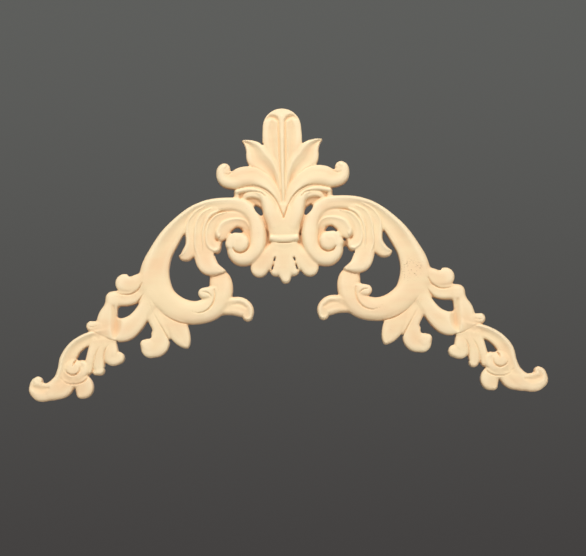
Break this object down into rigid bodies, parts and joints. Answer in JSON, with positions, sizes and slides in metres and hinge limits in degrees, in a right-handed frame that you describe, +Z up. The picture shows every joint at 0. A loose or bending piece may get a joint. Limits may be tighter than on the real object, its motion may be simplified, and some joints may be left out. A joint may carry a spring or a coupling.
{
  "type": "wooden corner onlay",
  "caption": "Flat-backed carved wooden onlay with a leafy crest, paired scrolls and slender leafy arms reaching down to each side.",
  "frame": {"origin": "on the flat back, on the mirror line of the carving, just above the collar under the crest", "axes": "+X to the viewer's right along the arms, +Y out of the flat back towards the wall or door it is fixed to, so the carved front faces -Y, +Z up towards the crest"},
  "size_m": [0.3006, 0.0094, 0.1659],
  "materials": {
    "wood": "bare sanded pale hardwood, matte"
  },
  "bodies": {
    "root": {"corner_onlay": "wood"}
  },
  "joints": []
}
